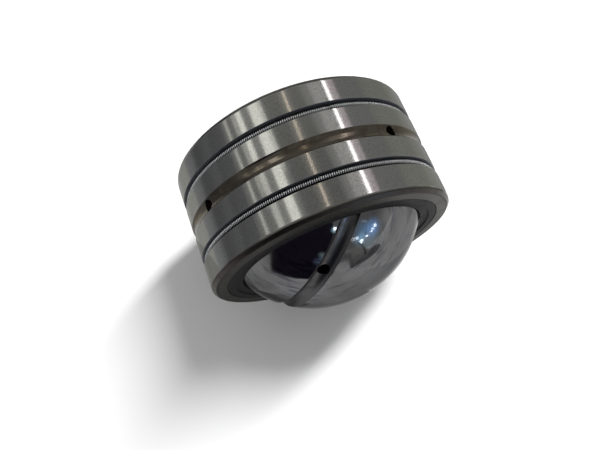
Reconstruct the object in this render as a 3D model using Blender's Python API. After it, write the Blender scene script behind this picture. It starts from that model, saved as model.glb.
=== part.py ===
"""Large radial spherical plain bearing with an axially split outer ring.

The bearing lies on its outer ring, so the ring's axis runs along Y, and the
ball of the inner ring is turned far out of line with it. The origin is the
centre of the ball. Lengths are in metres and angles in degrees. Angles round
the ring's axis are counted from +X towards +Z.
"""

import math

import bmesh
import bpy
from mathutils import Matrix

# Outer ring; its wall is measured at the middle, where the raceway is widest
RING_WALL = 0.0080
OUTER_WIDTH = 0.074
OUTER_CHAMFER = 0.0024
SPLIT_ANGLE = 9.0

# Lubrication groove and holes of the outer ring
OIL_GROOVE_WIDTH = 0.0073
OIL_GROOVE_DEPTH = 0.0012
OIL_HOLE_DIAMETER = 0.0064
OIL_HOLE_COUNT = 4

# Garter springs, in two grooves at equal distances from the middle
SPRING_DIAMETER = 0.0040
SPRING_BELOW_SURFACE = 0.0010
SPRING_GROOVE_OFFSET = 0.0185

# Inner ring with its ball-shaped outside and its flat end faces
BALL_DIAMETER = 0.133
BORE_DIAMETER = 0.065
BORE_CHAMFER = 0.0015
END_FACE_WIDTH = 0.0042
BALL_EDGE_CHAMFER = 0.0006

# Lubrication grooves and holes of the inner ring
BALL_GROOVE_WIDTH = 0.0095
BALL_GROOVE_DEPTH = 0.0022
BORE_GROOVE_WIDTH = 0.0090
BORE_GROOVE_DEPTH = 0.0014
BALL_HOLE_DIAMETER = 0.0070
BALL_HOLE_COUNT = 4

# How the inner ring is turned in the outer ring
BALL_TILT = 61.5
BALL_LEAN_DIRECTION = -27.2
BALL_SPIN = 157.3

# Seals and the end recesses that hold them
RIM_WIDTH = 0.0089
RECESS_DEPTH = 0.0045
SEAL_RIM_WIDTH = 0.0043
SEAL_STEP_DEPTH = 0.0008
SEAL_LIP_THICKNESS = 0.0014
SEAL_RELIEF_DEPTH = 0.0012
SEAL_SUNK = 0.0002

# Clearances between neighbours, and how far a drill runs past what it cuts
RACE_CLEARANCE = 0.0005
SPLIT_CLEARANCE = 0.0003
SEAL_CLEARANCE = 0.0003
LIP_CLEARANCE = 0.0004
SPRING_CLEARANCE = 0.0004
DRILL_OVERRUN = 0.003

# How finely round shapes are cut into flat faces
TURN_STEPS = 60
ARC_STEP = 6.0
GROOVE_STEPS = 4
SPRING_STEPS = 12
DRILL_SIDES = 20
SHARP_ANGLE = 35.0

# Sizes that follow from the ones above
BALL_RADIUS = BALL_DIAMETER / 2
BORE_RADIUS = BORE_DIAMETER / 2
RACE_RADIUS = BALL_RADIUS + RACE_CLEARANCE
OUTER_RADIUS = RACE_RADIUS + RING_WALL
HALF_OUTER = OUTER_WIDTH / 2
RECESS_RADIUS = OUTER_RADIUS - RIM_WIDTH
RECESS_FLOOR = HALF_OUTER - RECESS_DEPTH
SPRING_RING_RADIUS = OUTER_RADIUS - SPRING_BELOW_SURFACE - SPRING_DIAMETER / 2


def remove_old_objects():
    """Empty the scene."""
    for old in list(bpy.data.objects):
        bpy.data.objects.remove(old, do_unlink=True)


def give_material(piece, colour, metallic, roughness):
    """Give a piece a plain material of its own."""
    made = bpy.data.materials.new(piece.name)
    made.use_nodes = True
    shader = made.node_tree.nodes["Principled BSDF"]
    shader.inputs["Base Color"].default_value = (*colour, 1.0)
    shader.inputs["Metallic"].default_value = metallic
    shader.inputs["Roughness"].default_value = roughness
    piece.data.materials.append(made)


def radius_on_sphere(sphere_radius, height):
    """Radius of a sphere's section at a height above its centre."""
    return math.sqrt(sphere_radius ** 2 - height ** 2)


def sphere_arc(sphere_radius, start, end):
    """Points along a sphere's outline from one height to another, ends included."""
    first = math.asin(start / sphere_radius)
    last = math.asin(end / sphere_radius)
    steps = max(1, round(math.degrees(abs(last - first)) / ARC_STEP))
    angles = [first + (last - first) * i / steps for i in range(steps + 1)]
    return [(sphere_radius * math.cos(a), sphere_radius * math.sin(a)) for a in angles]


def round_groove(surface_radius, width, depth, inward):
    """Points of a round-bottomed groove at height 0, from its top lip down.

    inward is -1 for a groove cut into an outside and 1 for one cut into a bore.
    """
    section_radius = ((width / 2) ** 2 + depth ** 2) / (2 * depth)
    half_angle = math.asin(width / 2 / section_radius)
    points = []
    for i in range(GROOVE_STEPS + 1):
        angle = half_angle * (1 - 2 * i / GROOVE_STEPS)
        sunk = section_radius * math.cos(angle) - (section_radius - depth)
        points.append((surface_radius + inward * sunk, section_radius * math.sin(angle)))
    return points


def mirrored(points):
    """The same points below height 0, so that the outline goes on downwards."""
    return [(radius, -height) for radius, height in reversed(points)]


def turned(name, outline, start=0.0, sweep=360.0, steps=TURN_STEPS):
    """Turn a closed outline of (radius, height) points about the Z axis."""
    bm = bmesh.new()
    first = [bm.verts.new((radius, 0.0, height)) for radius, height in outline]
    loop = [bm.edges.new(pair) for pair in zip(first, first[1:] + first[:1])]
    bmesh.ops.rotate(bm, verts=first, matrix=Matrix.Rotation(math.radians(start), 3, "Z"))
    whole = sweep >= 360.0
    spun = bmesh.ops.spin(
        bm,
        geom=first + loop,
        axis=(0.0, 0.0, 1.0),
        angle=math.radians(sweep),
        steps=steps,
        use_merge=whole,
    )
    if not whole:
        last = [item for item in spun["geom_last"] if isinstance(item, bmesh.types.BMEdge)]
        bmesh.ops.contextual_create(bm, geom=loop)
        bmesh.ops.contextual_create(bm, geom=last)
    bmesh.ops.recalc_face_normals(bm, faces=bm.faces)
    return finished_object(name, bm)


def finished_object(name, bm):
    """Put a mesh into the scene, smooth but for its sharp edges."""
    mesh = bpy.data.meshes.new(name)
    bm.to_mesh(mesh)
    bm.free()
    mesh.shade_smooth()
    mesh.set_sharp_from_angle(angle=math.radians(SHARP_ANGLE))
    made = bpy.data.objects.new(name, mesh)
    bpy.context.collection.objects.link(made)
    return made


def drills(name, diameter, count, first_angle, inner, outer):
    """Radial cylinders about the Z axis, used as cutters for a row of holes."""
    bm = bmesh.new()
    for i in range(count):
        angle = math.radians(first_angle + 360.0 * i / count)
        place = (
            Matrix.Rotation(angle, 4, "Z")
            @ Matrix.Translation(((inner + outer) / 2, 0.0, 0.0))
            @ Matrix.Rotation(math.pi / 2, 4, "Y")
        )
        bmesh.ops.create_cone(
            bm,
            cap_ends=True,
            segments=DRILL_SIDES,
            radius1=diameter / 2,
            radius2=diameter / 2,
            depth=outer - inner,
            matrix=place,
        )
    cutter = finished_object(name, bm)
    cutter.hide_render = True
    cutter.display_type = "WIRE"
    return cutter


def drill_into(body, cutter):
    """Cut the holes out of a body."""
    cut = body.modifiers.new("oil holes", "BOOLEAN")
    cut.operation = "DIFFERENCE"
    cut.solver = "EXACT"
    cut.object = cutter


def outer_ring_outline():
    """Closed section of the outer ring, down its outside and up its inside."""
    spring_room = SPRING_DIAMETER / 2 + SPRING_CLEARANCE
    groove_top = SPRING_GROOVE_OFFSET + spring_room
    groove_bottom = SPRING_GROOVE_OFFSET - spring_room
    groove_floor = SPRING_RING_RADIUS - spring_room
    upper_outside = [
        (RECESS_RADIUS, RECESS_FLOOR),
        (RECESS_RADIUS, HALF_OUTER),
        (OUTER_RADIUS - OUTER_CHAMFER, HALF_OUTER),
        (OUTER_RADIUS, HALF_OUTER - OUTER_CHAMFER),
        (OUTER_RADIUS, groove_top),
        (groove_floor, groove_top),
        (groove_floor, groove_bottom),
        (OUTER_RADIUS, groove_bottom),
    ]
    oil_groove = round_groove(OUTER_RADIUS, OIL_GROOVE_WIDTH, OIL_GROOVE_DEPTH, -1)
    raceway = sphere_arc(RACE_RADIUS, -RECESS_FLOOR, RECESS_FLOOR)
    return upper_outside + oil_groove + mirrored(upper_outside) + raceway


def make_outer_ring(axis):
    """The outer ring's two halves, parted lengthways with a hairline gap."""
    narrowest = radius_on_sphere(RACE_RADIUS, RECESS_FLOOR)
    half_gap = math.degrees(SPLIT_CLEARANCE / 2 / narrowest)
    cutter = drills(
        "outer_ring_drills",
        OIL_HOLE_DIAMETER,
        OIL_HOLE_COUNT,
        SPLIT_ANGLE + 180.0 / OIL_HOLE_COUNT,
        RACE_RADIUS - DRILL_OVERRUN,
        OUTER_RADIUS + DRILL_OVERRUN,
    )
    cutter.parent = axis
    for name, start in (
        ("outer_ring_upper_half", SPLIT_ANGLE),
        ("outer_ring_lower_half", SPLIT_ANGLE + 180.0),
    ):
        half = turned(
            name,
            outer_ring_outline(),
            start + half_gap,
            180.0 - 2 * half_gap,
            TURN_STEPS // 2,
        )
        give_material(half, (0.30, 0.30, 0.28), 1.0, 0.28)
        half.parent = axis
        drill_into(half, cutter)


def make_garter_springs(axis):
    """The two garter springs, as plain rings of the coils' outer shape."""
    coil_radius = SPRING_DIAMETER / 2
    section = []
    for i in range(SPRING_STEPS):
        angle = math.tau * i / SPRING_STEPS
        radius = SPRING_RING_RADIUS + coil_radius * math.cos(angle)
        section.append((radius, coil_radius * math.sin(angle)))
    for name, side in (("garter_spring_front", 1), ("garter_spring_rear", -1)):
        spring = turned(name, section, SPLIT_ANGLE)
        give_material(spring, (0.35, 0.36, 0.38), 1.0, 0.35)
        spring.parent = axis
        spring.location.z = side * SPRING_GROOVE_OFFSET


def seal_outline():
    """Closed section of the front seal, which faces up the axis."""
    seat = RECESS_FLOOR + SEAL_CLEARANCE
    face = HALF_OUTER - SEAL_SUNK
    lip_face = face - SEAL_STEP_DEPTH
    lip_back = lip_face - SEAL_LIP_THICKNESS
    lip_sphere = BALL_RADIUS + LIP_CLEARANCE
    relief_sphere = lip_sphere + SEAL_RELIEF_DEPTH
    rim = RECESS_RADIUS - SEAL_CLEARANCE
    step = rim - SEAL_RIM_WIDTH
    return [
        (rim, face),
        (rim, seat),
        (radius_on_sphere(relief_sphere, seat), seat),
        (radius_on_sphere(relief_sphere, lip_back), lip_back),
        (radius_on_sphere(lip_sphere, lip_back), lip_back),
        (radius_on_sphere(lip_sphere, lip_face), lip_face),
        (step - SEAL_STEP_DEPTH / 2, lip_face),
        (step, face),
    ]


def make_seals(axis):
    """The lip seal in each end recess of the outer ring."""
    front = seal_outline()
    for name, outline in (("seal_front", front), ("seal_rear", mirrored(front))):
        seal = turned(name, outline, SPLIT_ANGLE)
        give_material(seal, (0.03, 0.03, 0.03), 0.0, 0.55)
        seal.parent = axis


def inner_ring_outline():
    """Closed section of the inner ring, down the ball and up the bore."""
    face_edge = BORE_RADIUS + BORE_CHAMFER + END_FACE_WIDTH
    ball_edge = face_edge + BALL_EDGE_CHAMFER
    ball_edge_height = radius_on_sphere(BALL_RADIUS, ball_edge)
    end_height = ball_edge_height + BALL_EDGE_CHAMFER
    groove_lip = BALL_GROOVE_WIDTH / 2
    lip_radius = radius_on_sphere(BALL_RADIUS, groove_lip)
    upper_ball = [(face_edge, end_height)]
    upper_ball += sphere_arc(BALL_RADIUS, ball_edge_height, groove_lip)[:-1]
    ball_groove = round_groove(lip_radius, BALL_GROOVE_WIDTH, BALL_GROOVE_DEPTH, -1)
    bore_end = [
        (BORE_RADIUS + BORE_CHAMFER, -end_height),
        (BORE_RADIUS, BORE_CHAMFER - end_height),
    ]
    bore_groove = round_groove(BORE_RADIUS, BORE_GROOVE_WIDTH, BORE_GROOVE_DEPTH, 1)
    bore_groove.reverse()
    ball = upper_ball + ball_groove + mirrored(upper_ball)
    return ball + bore_end + bore_groove + mirrored(bore_end)


def make_inner_ring(axis):
    """The inner ring, turned out of line as it lies in the photograph."""
    placed = (
        Matrix.Rotation(math.radians(BALL_LEAN_DIRECTION), 4, "Z")
        @ Matrix.Rotation(math.radians(BALL_TILT), 4, "Y")
        @ Matrix.Rotation(math.radians(BALL_SPIN), 4, "Z")
    )
    cutter = drills(
        "inner_ring_drills",
        BALL_HOLE_DIAMETER,
        BALL_HOLE_COUNT,
        0.0,
        BORE_RADIUS - DRILL_OVERRUN,
        BALL_RADIUS + DRILL_OVERRUN,
    )
    ring = turned("inner_ring", inner_ring_outline())
    give_material(ring, (0.32, 0.32, 0.33), 1.0, 0.08)
    drill_into(ring, cutter)
    for made in (cutter, ring):
        made.parent = axis
        made.matrix_local = placed


def main():
    """Make every piece of the bearing."""
    remove_old_objects()
    axis = bpy.data.objects.new("ring_axis", None)
    bpy.context.collection.objects.link(axis)
    axis.rotation_euler.x = math.pi / 2
    make_outer_ring(axis)
    make_garter_springs(axis)
    make_seals(axis)
    make_inner_ring(axis)


main()
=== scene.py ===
# %% [markdown]
# # A large spherical plain bearing
# The real bearing is a ground steel ring in two halves, held together by two garter
# springs in narrow grooves. A black lip seal sits in each end. Inside turns a steel
# ball with a bore, and here it has been swung far out of line with the ring.
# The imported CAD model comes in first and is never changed. It tells us where every
# piece belongs, and we keep its box to compare it with our finer pieces at the end.

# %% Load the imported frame
import math

import bmesh
import bpy
from mathutils import Matrix, Vector


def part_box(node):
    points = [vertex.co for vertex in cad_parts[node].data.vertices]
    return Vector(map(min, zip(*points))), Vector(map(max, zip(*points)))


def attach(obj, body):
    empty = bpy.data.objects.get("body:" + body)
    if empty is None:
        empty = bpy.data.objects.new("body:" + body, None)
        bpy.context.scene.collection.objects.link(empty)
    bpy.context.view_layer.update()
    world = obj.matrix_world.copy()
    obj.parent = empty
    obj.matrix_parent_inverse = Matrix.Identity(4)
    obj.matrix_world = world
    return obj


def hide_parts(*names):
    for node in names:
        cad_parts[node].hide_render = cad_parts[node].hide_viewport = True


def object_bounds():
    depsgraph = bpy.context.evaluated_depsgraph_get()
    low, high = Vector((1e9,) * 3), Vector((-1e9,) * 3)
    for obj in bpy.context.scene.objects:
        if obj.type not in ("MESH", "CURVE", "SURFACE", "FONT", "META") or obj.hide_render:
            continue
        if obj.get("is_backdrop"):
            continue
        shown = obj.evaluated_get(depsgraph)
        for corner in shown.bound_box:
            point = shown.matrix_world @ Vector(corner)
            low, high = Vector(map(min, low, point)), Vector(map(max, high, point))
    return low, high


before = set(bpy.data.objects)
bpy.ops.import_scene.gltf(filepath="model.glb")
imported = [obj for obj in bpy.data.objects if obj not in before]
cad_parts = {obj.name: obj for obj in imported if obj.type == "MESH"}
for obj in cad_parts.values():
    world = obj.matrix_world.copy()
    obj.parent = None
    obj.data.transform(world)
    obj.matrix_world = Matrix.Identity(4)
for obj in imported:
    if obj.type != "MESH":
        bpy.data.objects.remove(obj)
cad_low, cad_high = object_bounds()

print("nodes:", sorted(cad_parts))

# %% [markdown]
# ## Sizes
# All lengths are in metres and repeat the CAD model's sizes. A height is counted along
# a piece's own axis from the middle of the ball. The ring's axis lies along Y and its
# positive heights face the viewer. The ball has an axis of its own, so each piece is
# drawn round the Z axis and then put in place by one of two matrices.

# %% Sizes and places
OUTER_RADIUS = 0.075
OUTER_HALF = 0.037
OUTER_CHAMFER = 0.0022
CHAMFER_SHOULDER = (0.0004, 0.0017)
LAND_START = 0.0031
SPLIT_ANGLE = 9.0
SPLIT_GAP = 0.0003
NARROWEST_RADIUS = 0.0586
RACE_RADIUS = 0.067
RECESS_RADIUS = 0.0661
RECESS_FLOOR = 0.0325
OIL_GROOVE_WIDTH = 0.0073
OIL_GROOVE_DEPTH = 0.0012
OIL_HOLE_RADIUS = 0.0032
SPRING_HEIGHT = 0.0185
SPRING_ROOM = 0.0024
SPRING_RING_RADIUS = 0.072
COIL_RADIUS = 0.0020
WIRE_RADIUS = 0.00042
COILS = 400
BALL_RADIUS = 0.0665
BALL_GROOVE_WIDTH = 0.0095
BALL_GROOVE_DEPTH = 0.0022
BALL_HOLE_RADIUS = 0.0035
BALL_END = 0.0546075
FACE_EDGE = 0.0382
FACE_EASING = 0.0006
BORE_RADIUS = 0.0325
BORE_CHAMFER = 0.0015
BORE_GROOVE_WIDTH = 0.0090
BORE_GROOVE_DEPTH = 0.0014
DRILL_OVERRUN = 0.003

RING_PLACE = Matrix.Rotation(math.pi / 2, 4, "X")
BALL_PLACE = (
    RING_PLACE
    @ Matrix.Rotation(math.radians(-27.2), 4, "Z")
    @ Matrix.Rotation(math.radians(61.5), 4, "Y")
    @ Matrix.Rotation(math.radians(157.3), 4, "Z")
)
WIPED_AXIS = Vector((-0.18, -0.49, 0.85))
WIPED_PLACE = WIPED_AXIS.to_track_quat("Z", "Y").to_matrix().to_4x4()
ball_axis = BALL_PLACE.to_3x3() @ Vector((0, 0, 1))
print("the ball's axis points to", [round(v, 3) for v in ball_axis])

# %% [markdown]
# ## Node helpers
# A procedural material is a small network of nodes. A few helpers keep that network
# readable: one adds a node with its settings, one links many sockets at once, and one
# makes a node group whose inputs and outputs have names. A group is the place for an
# effect that several finishes share: it is built once and used with different values.

# %% Helpers for nodes
def add(tree, kind, values=None, **settings):
    """Add a node; settings are its options and values its unlinked inputs."""
    node = tree.nodes.new(kind)
    for option, value in settings.items():
        setattr(node, option, value)
    for socket, value in (values or {}).items():
        node.inputs[socket].default_value = value
    return node


def join(tree, *wires):
    """Link sockets: a wire is (node, output, node, input) or (socket, node, input)."""
    for *source, target, socket in wires:
        start = source[0] if len(source) == 1 else source[0].outputs[source[1]]
        tree.links.new(start, target.inputs[socket])


def new_group(name, inputs, outputs, kind="ShaderNodeTree"):
    """Make a node group with named sockets; returns its tree and both ends."""
    tree = bpy.data.node_groups.new(name, kind)
    for socket, socket_type, value in inputs:
        made = tree.interface.new_socket(socket, in_out="INPUT", socket_type=socket_type)
        if value is not None:
            made.default_value = value
    for socket, socket_type in outputs:
        tree.interface.new_socket(socket, in_out="OUTPUT", socket_type=socket_type)
    return tree, tree.nodes.new("NodeGroupInput"), tree.nodes.new("NodeGroupOutput")


# %% [markdown]
# ## Shared effect: lines from turning and grinding
# A ring is machined while it spins, so every tool mark runs round its axis. Noise that
# changes slowly round the axis but fast along it gives just such lines. We stretch the
# coordinates before the noise reads them. This has no seam, which a pattern made from
# an angle would have.

# %% Group for machining lines
FLOAT, VECTOR, WHOLE = "NodeSocketFloat", "NodeSocketVector", "NodeSocketInt"


def stretched(tree, ends, round_axis, along_axis):
    """The coordinates, stretched by two of the group's inputs."""
    factors = add(tree, "ShaderNodeCombineXYZ")
    result = add(tree, "ShaderNodeVectorMath", operation="MULTIPLY")
    join(
        tree, (ends, round_axis, factors, "X"), (ends, round_axis, factors, "Y"),
        (ends, along_axis, factors, "Z"), (ends, "Vector", result, 0),
        (factors, "Vector", result, 1),
    )
    return result.outputs["Vector"]


lines_tree, ends, out = new_group(
    "Machining lines",
    [("Vector", VECTOR, None), ("Fineness", FLOAT, 1500.0), ("Wander", FLOAT, 12.0)],
    [("Lines", FLOAT)],
)
broad = add(lines_tree, "ShaderNodeTexNoise", {"Scale": 1.0, "Detail": 2.0, "Roughness": 0.6})
join(
    lines_tree, (stretched(lines_tree, ends, "Wander", "Fineness"), broad, "Vector"),
    (broad, "Fac", out, "Lines"),
)
print("group:", lines_tree.name, "with", len(lines_tree.nodes), "nodes")

# %% [markdown]
# ## Shared effects: grain, smudges, scratches and worn lips
# Ground steel has a fine grain between its lines. Oil and fingers leave soft smudges,
# handling leaves thin scratches, and the lips of grooves wear bright. Each effect puts
# out masks from 0 to 1, and every finish decides what it does with them.

# %% Groups for grain and smudges
grain_tree, ends, out = new_group(
    "Steel grain",
    [("Vector", VECTOR, None), ("Scale", FLOAT, 1400.0)],
    [("Grain", FLOAT), ("Speckle", FLOAT)],
)
speckle = add(grain_tree, "ShaderNodeTexNoise", {"Detail": 3.0, "Roughness": 0.7})
stronger = add(grain_tree, "ShaderNodeMapRange", {"From Min": 0.36, "From Max": 0.64})
join(
    grain_tree, (ends, "Vector", speckle, "Vector"), (ends, "Scale", speckle, "Scale"),
    (speckle, "Fac", out, "Grain"), (speckle, "Fac", stronger, "Value"),
    (stronger, "Result", out, "Speckle"),
)

smudge_tree, ends, out = new_group(
    "Oil smudges",
    [("Vector", VECTOR, None), ("Scale", FLOAT, 60.0), ("Start", FLOAT, 0.5), ("End", FLOAT, 0.7)],
    [("Mask", FLOAT)],
)
cloud = add(smudge_tree, "ShaderNodeTexNoise", {"Detail": 4.0, "Roughness": 0.6, "Distortion": 0.7})
cut = add(smudge_tree, "ShaderNodeMapRange", interpolation_type="SMOOTHSTEP")
join(
    smudge_tree, (ends, "Vector", cloud, "Vector"), (ends, "Scale", cloud, "Scale"),
    (cloud, "Fac", cut, "Value"), (ends, "Start", cut, "From Min"),
    (ends, "End", cut, "From Max"), (cut, "Result", out, "Mask"),
)
print("groups:", grain_tree.name, "and", smudge_tree.name)

# %% Groups for scratches and worn lips
SCRATCH_SOFTNESS = 0.08
scratch_tree, ends, out = new_group(
    "Handling scratches",
    [
        ("Vector", VECTOR, None), ("Long", FLOAT, 60.0), ("Thin", FLOAT, 900.0),
        ("Start", FLOAT, 0.64),
    ],
    [("Mask", FLOAT)],
)
thin = add(scratch_tree, "ShaderNodeTexNoise", {"Scale": 1.0, "Detail": 2.0, "Distortion": 0.2})
cut = add(scratch_tree, "ShaderNodeMapRange")
full_at = add(scratch_tree, "ShaderNodeMath", {1: SCRATCH_SOFTNESS}, operation="ADD")
join(
    scratch_tree, (stretched(scratch_tree, ends, "Long", "Thin"), thin, "Vector"),
    (thin, "Fac", cut, "Value"), (ends, "Start", cut, "From Min"), (ends, "Start", full_at, 0),
    (full_at, "Value", cut, "From Max"), (cut, "Result", out, "Mask"),
)

lip_tree, ends, out = new_group(
    "Worn lips", [("Vector", VECTOR, None), ("Amount", FLOAT, 0.6)], [("Mask", FLOAT)]
)
lip = add(lip_tree, "ShaderNodeAttribute", attribute_name="lip")
patchy = add(lip_tree, "ShaderNodeTexNoise", {"Scale": 220.0, "Detail": 2.0})
broken = add(lip_tree, "ShaderNodeMath", operation="MULTIPLY")
amount = add(lip_tree, "ShaderNodeMath", operation="MULTIPLY", use_clamp=True)
join(
    lip_tree, (ends, "Vector", patchy, "Vector"), (lip, "Fac", broken, 0),
    (patchy, "Fac", broken, 1), (broken, "Value", amount, 0), (ends, "Amount", amount, 1),
    (amount, "Value", out, "Mask"),
)
print("groups:", scratch_tree.name, "and", lip_tree.name)

# %% [markdown]
# ## One recipe for all the steel
# Every steel face gets the same recipe with its own values: a clean colour, a stain
# colour, how rough it is, and how tall its lines and grain stand. The metal itself is
# a plain setting on the shader. Only what really varies over the surface comes through
# nodes. The pattern is turned onto the piece's own axis by a Mapping node, because the
# finished pieces themselves stay unturned.

# %% Helpers for a finish
def new_finish(name):
    """A new material, its node tree and its shader."""
    finish = bpy.data.materials.new(name)
    finish.use_nodes = True
    return finish, finish.node_tree, finish.node_tree.nodes["Principled BSDF"]


def use_group(tree, group, vector, **values):
    """Place a shared group in a material, feed it the coordinates and return its outputs."""
    node = add(tree, "ShaderNodeGroup", node_tree=group)
    tree.links.new(vector, node.inputs["Vector"])
    for socket, value in values.items():
        node.inputs[socket].default_value = value
    return node.outputs


def mixed(tree, first, second, mask, share=1.0):
    """Mix two colours by a mask; each colour is a socket or a plain triple."""
    node = add(tree, "ShaderNodeMix", data_type="RGBA")
    factor, a, b = node.inputs[0], node.inputs[6], node.inputs[7]
    if share < 1.0:
        less = add(tree, "ShaderNodeMath", {1: share}, operation="MULTIPLY")
        tree.links.new(mask, less.inputs[0])
        mask = less.outputs["Value"]
    tree.links.new(mask, factor)
    for socket, colour in ((a, first), (b, second)):
        if isinstance(colour, tuple):
            socket.default_value = (*colour, 1.0)
        else:
            tree.links.new(colour, socket)
    return node.outputs[2]


def scaled_sum(tree, *terms):
    """Add up sockets, each times its own number."""
    total = None
    for socket, factor in terms:
        node = add(tree, "ShaderNodeMath", {1: factor, 2: 0.0}, operation="MULTIPLY_ADD")
        tree.links.new(socket, node.inputs[0])
        if total is not None:
            tree.links.new(total, node.inputs[2])
        total = node.outputs["Value"]
    return total


def feed(tree, shader, colour, least_rough, more_rough, height):
    """Give a shader its colour, its roughness and its relief."""
    rough = add(tree, "ShaderNodeMath", {1: least_rough}, operation="ADD", use_clamp=True)
    relief = add(tree, "ShaderNodeBump", {"Strength": 1.0, "Distance": 1.0})
    join(
        tree, (more_rough, rough, 0), (height, relief, "Height"), (colour, shader, "Base Color"),
        (rough, "Value", shader, "Roughness"), (relief, "Normal", shader, "Normal"),
    )


# %% Helpers for where a finish lies
def own_axis(tree, place):
    """Object coordinates turned so that the piece's own axis is Z."""
    where = add(tree, "ShaderNodeTexCoord")
    turned = add(tree, "ShaderNodeMapping", {"Rotation": place.inverted().to_euler("XYZ")})
    tree.links.new(where.outputs["Object"], turned.inputs["Vector"])
    return turned.outputs["Vector"]


def along_axis(tree, place):
    """How far along the piece's own axis a place lies, from the middle."""
    parts = add(tree, "ShaderNodeSeparateXYZ")
    tree.links.new(own_axis(tree, place), parts.inputs["Vector"])
    return parts.outputs["Z"]


def distance_from_axis(tree, place):
    """How far a place lies from the piece's own axis."""
    flat = add(tree, "ShaderNodeVectorMath", {1: (1.0, 1.0, 0.0)}, operation="MULTIPLY")
    length = add(tree, "ShaderNodeVectorMath", operation="LENGTH")
    join(tree, (own_axis(tree, place), flat, 0), (flat, "Vector", length, 0))
    return length.outputs["Value"]


def fade(tree, value, start, end):
    """A soft mask: 0 where the value is at start, 1 where it is at end."""
    node = add(
        tree, "ShaderNodeMapRange", {"From Min": start, "From Max": end},
        interpolation_type="SMOOTHSTEP",
    )
    tree.links.new(value, node.inputs["Value"])
    return node.outputs["Result"]


def tinted(material, colour, mask, share=1.0):
    """Lay a second colour over a finish where the mask is 1."""
    tree = material.node_tree
    shader = tree.nodes["Principled BSDF"]
    below = shader.inputs["Base Color"].links[0].from_socket
    tree.links.new(mixed(tree, below, colour, mask, share), shader.inputs["Base Color"])


# %% The steel recipe
LINE_SHADE = 0.6


def steel(name, place, clean, stain, rough, stain_at=(0.5, 0.75), stain_scale=45.0,
          fineness=1500.0, line_tone=0.25, line_height=6e-6, grain_height=4e-6,
          grain_scale=1400.0, grain_tone=0.2, worn=(0.5, 0.5, 0.49), wear=0.5, edge=0.6):
    """A machined steel: rough is (least, more with lines, more with stains).

    edge says how much of the shine is left where the surface is seen edge-on.
    """
    material, tree, shader = new_finish(name)
    shader.inputs["Metallic"].default_value = 1.0
    shader.inputs["Specular Tint"].default_value = (edge, edge, edge, 1.0)
    vector = own_axis(tree, place)
    lines = use_group(tree, lines_tree, vector, Fineness=fineness)["Lines"]
    grain = use_group(tree, grain_tree, vector, Scale=grain_scale)
    start, end = stain_at
    stains = use_group(tree, smudge_tree, vector, Scale=stain_scale, Start=start, End=end)["Mask"]
    lips = use_group(tree, lip_tree, vector, Amount=wear)["Mask"]
    darker = tuple(LINE_SHADE * c for c in clean)
    colour = mixed(tree, clean, darker, lines, line_tone)
    colour = mixed(tree, colour, darker, grain["Speckle"], grain_tone)
    colour = mixed(tree, colour, stain, stains)
    colour = mixed(tree, colour, worn, lips)
    more_rough = scaled_sum(tree, (lines, rough[1]), (stains, rough[2]))
    height = scaled_sum(tree, (lines, line_height), (grain["Grain"], grain_height))
    feed(tree, shader, colour, rough[0], more_rough, height)
    return material


# %% [markdown]
# ## Finishes of the outer ring
# Only the four wide lands were ground, so they are bright and even. The oil groove and
# the chamfers kept the brown skin of hardening. The end faces are darker than the lands,
# and the spring grooves hold old grease.

# %% Outer ring finishes
SKIN_STARTS, SKIN_FULL = 0.0339, 0.0353
RIM_STARTS, RIM_FULL = 0.0712, 0.0729
ground_steel = steel(
    "ground_steel", RING_PLACE, (0.295, 0.295, 0.28), (0.26, 0.26, 0.247),
    (0.085, 0.04, 0.04), stain_scale=30.0, line_tone=0.15, line_height=5e-6,
    grain_scale=1150.0, grain_height=5e-6, grain_tone=0.60, wear=0.1, edge=0.42,
)
tree = ground_steel.node_tree
off_middle = add(tree, "ShaderNodeMath", operation="ABSOLUTE")
tree.links.new(along_axis(tree, RING_PLACE), off_middle.inputs[0])
near_chamfer = fade(tree, off_middle.outputs["Value"], SKIN_STARTS, SKIN_FULL)
tinted(ground_steel, (0.060, 0.050, 0.038), near_chamfer)
brown_groove = steel(
    "brown_groove_steel", RING_PLACE, (0.126, 0.111, 0.088), (0.080, 0.066, 0.050),
    (0.10, 0.05, 0.10), stain_at=(0.42, 0.68), stain_scale=120.0, fineness=700.0,
    grain_tone=0.12, worn=(0.20, 0.18, 0.155), wear=0.4,
)
chamfer_steel = steel(
    "chamfer_steel", RING_PLACE, (0.044, 0.039, 0.034), (0.030, 0.025, 0.020),
    (0.36, 0.06, 0.08), stain_scale=90.0, fineness=900.0, worn=(0.048, 0.042, 0.036),
    wear=0.2, edge=0.8,
)
end_steel = steel(
    "end_face_steel", RING_PLACE, (0.104, 0.102, 0.098), (0.08, 0.077, 0.072),
    (0.28, 0.04, 0.06), stain_scale=80.0, fineness=60.0, line_height=3e-6,
    grain_height=3e-6, worn=(0.08, 0.078, 0.073), wear=0.2, edge=0.47,
)
tree = end_steel.node_tree
off_axis = distance_from_axis(tree, RING_PLACE)
tinted(end_steel, (0.044, 0.040, 0.036), fade(tree, off_axis, RIM_STARTS, RIM_FULL))
greasy_steel = steel(
    "spring_groove_steel", RING_PLACE, (0.115, 0.122, 0.14), (0.07, 0.075, 0.09),
    (0.35, 0.08, 0.15), stain_scale=150.0, worn=(0.25, 0.25, 0.25), wear=0.6,
)
greasy_steel.node_tree.nodes["Principled BSDF"].inputs["Metallic"].default_value = 0.0
race_steel = steel(
    "raceway_steel", RING_PLACE, (0.16, 0.155, 0.15), (0.10, 0.095, 0.09),
    (0.30, 0.06, 0.1), stain_scale=60.0,
)
split_steel = steel(
    "split_face_steel", RING_PLACE, (0.33, 0.33, 0.32), (0.26, 0.25, 0.24),
    (0.2, 0.05, 0.1),
)
hole_steel = steel(
    "oil_hole_steel", RING_PLACE, (0.10, 0.085, 0.07), (0.05, 0.04, 0.03),
    (0.38, 0.05, 0.1), stain_scale=200.0,
)
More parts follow.
